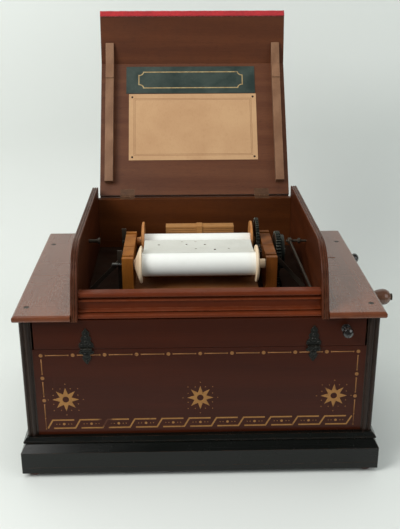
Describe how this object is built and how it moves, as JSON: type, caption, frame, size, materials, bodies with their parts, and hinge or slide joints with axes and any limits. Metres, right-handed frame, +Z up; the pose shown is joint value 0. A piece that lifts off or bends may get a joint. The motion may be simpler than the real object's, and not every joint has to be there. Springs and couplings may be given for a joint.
{
  "type": "roller organ",
  "caption": "Hand cranked paper-roll reed organ in a polished wooden case, with hinged lid, swell flap, spools, gear train, bellows and reeds.",
  "frame": {"origin": "centre of the base board's underside", "axes": "+X to the object's right, where the crank is; +Y from the front panel to the back; +Z up"},
  "size_m": [0.4682, 0.4472, 0.5177],
  "materials": {
    "mahogany": "french polished",
    "shelf_mahogany": "polished",
    "ebonised": "ebonised satin",
    "foot_wood": "polished",
    "frame_wood": "oiled",
    "pale_wood": "waxed",
    "honey_wood": "varnished",
    "inner_wood": "planed",
    "grip_wood": "varnished",
    "knob_wood": "ebonised gloss",
    "paper": "matt",
    "card": "matt",
    "plate": "satin",
    "felt": "felt",
    "bellows_cloth": "rubbered cloth",
    "brass": "aged",
    "hinge_iron": "blackened",
    "steel": "polished",
    "dark_iron": "japanned"
  },
  "bodies": {
    "case": {"base_board": "ebonised", "feet": "foot_wood", "plinth_rails": "ebonised", "side_panel_left": "mahogany", "side_panel_right": "mahogany", "front_panel": "mahogany", "back_panel": "mahogany", "deck_board": "mahogany", "shelf_left": "shelf_mahogany", "shelf_right": "shelf_mahogany", "shelf_screws": "hinge_iron", "cheek_left": "mahogany", "cheek_right": "mahogany", "box_back": "mahogany", "sill_rail": "mahogany", "strap_hinge_case_leaves": "hinge_iron", "lid_hinge_case_leaves": "brass", "spool_frame_left": "frame_wood", "spool_frame_right": "frame_wood", "mechanism_bed": "inner_wood", "tracker_bar": "frame_wood", "paper_web": "paper", "steel_bars": "steel", "rear_block": "honey_wood", "shaft_bearings": "brass", "inner_rails": "inner_wood", "bellows_cloths": "bellows_cloth", "wind_chest": "inner_wood", "reed_pan": "inner_wood", "reeds": "brass"},
    "lid": {"lid_main_board": "mahogany", "lid_front_board": "mahogany", "lid_battens": "mahogany", "lid_felt": "felt", "name_plate": "plate", "lid_card": "card", "card_tacks": "hinge_iron", "lid_hinge_lid_leaves": "brass"},
    "flap": {"swell_flap": "mahogany", "flap_knob": "knob_wood", "strap_hinge_flap_leaves": "hinge_iron"},
    "feed": {"feed_spool": "pale_wood", "feed_axle": "steel", "music_roll": "paper"},
    "take_up": {"take_up_spool": "honey_wood", "take_up_paper": "paper", "take_up_gear": "dark_iron"},
    "countershaft_body": {"countershaft": "steel", "drive_gear": "dark_iron"},
    "idler": {"idler_gear": "dark_iron"},
    "crank": {"crankshaft": "steel", "crank_gear": "dark_iron", "crank_arm": "dark_iron"},
    "grip": {"crank_grip": "grip_wood"},
    "rod_left": {"connecting_rod_left": "inner_wood"},
    "rod_right": {"connecting_rod_right": "inner_wood"},
    "feeder_left": {"feeder_board_left": "inner_wood"},
    "feeder_right": {"feeder_board_right": "inner_wood"},
    "reservoir": {"reservoir_board": "inner_wood"},
    "stop": {"stop_knob": "knob_wood"}
  },
  "joints": [
    {"name": "crank_turn", "type": "hinge", "parent": "case", "child": "crank", "pos_m": [0, -0.0155, 0.1165], "axis": [1, 0, 0], "continuous": true},
    {"name": "grip_spin", "type": "hinge", "parent": "crank", "child": "grip", "pos_m": [0.233, -0.03602, 0.17288], "axis": [1, 0, 0], "continuous": true},
    {"name": "idler_spin", "type": "hinge", "parent": "case", "child": "idler", "pos_m": [0.105, 0.00583, 0.1672], "axis": [1, 0, 0], "continuous": true},
    {"name": "countershaft_spin", "type": "hinge", "parent": "case", "child": "countershaft_body", "pos_m": [0.105, 0.00444, 0.22281], "axis": [1, 0, 0], "continuous": true},
    {"name": "take_up_spin", "type": "hinge", "parent": "case", "child": "take_up", "pos_m": [0, 0.0425, 0.225], "axis": [1, 0, 0], "continuous": true},
    {"name": "feed_spin", "type": "hinge", "parent": "case", "child": "feed", "pos_m": [0, -0.0455, 0.225], "axis": [1, 0, 0], "continuous": true},
    {"name": "rod_left_pivot", "type": "hinge", "parent": "crank", "child": "rod_left", "pos_m": [-0.086, -0.0245, 0.1165], "axis": [1, 0, 0], "continuous": true},
    {"name": "rod_right_pivot", "type": "hinge", "parent": "crank", "child": "rod_right", "pos_m": [0.086, -0.0065, 0.1165], "axis": [1, 0, 0], "continuous": true},
    {"name": "feeder_hinge_left", "type": "hinge", "parent": "case", "child": "feeder_left", "pos_m": [-0.09, 0.0915, 0.02], "axis": [1, 0, 0], "range_deg": [-4.5, 4.5], "deforming": ["bellows_cloths"]},
    {"name": "feeder_hinge_right", "type": "hinge", "parent": "case", "child": "feeder_right", "pos_m": [0.09, 0.0915, 0.02], "axis": [1, 0, 0], "range_deg": [-4.5, 4.5], "deforming": ["bellows_cloths"]},
    {"name": "reservoir_hinge", "type": "hinge", "parent": "case", "child": "reservoir", "pos_m": [0.001, 0.0925, 0.138], "axis": [1, 0, 0], "range_deg": [-13.5, 0], "stiffness_Nm_per_rad": 0.2, "springref_deg": 8.59, "deforming": ["bellows_cloths"]},
    {"name": "lid_hinge", "type": "hinge", "parent": "case", "child": "lid", "pos_m": [0, 0.148, 0.2583], "axis": [1, 0, 0], "range_deg": [0, 123.9]},
    {"name": "flap_hinge", "type": "hinge", "parent": "case", "child": "flap", "pos_m": [0, -0.1475, 0.158], "axis": [1, 0, 0], "range_deg": [0, 130]},
    {"name": "stop_knob_slide", "type": "slide", "parent": "case", "child": "stop", "axis": [1, 0, 0], "range_m": [0, 0.012]}
  ],
  "couplings": [
    {"joint": "idler_spin", "follows": "crank_turn", "ratio": -0.83333},
    {"joint": "countershaft_spin", "follows": "crank_turn", "ratio": 0.97561},
    {"joint": "take_up_spin", "follows": "crank_turn", "ratio": -0.26423},
    {"joint": "feed_spin", "follows": "crank_turn", "ratio": 0.18924},
    {"joint": "rod_left_pivot", "follows": "crank_turn", "ratio": -1},
    {"joint": "rod_right_pivot", "follows": "crank_turn", "ratio": -1}
  ]
}
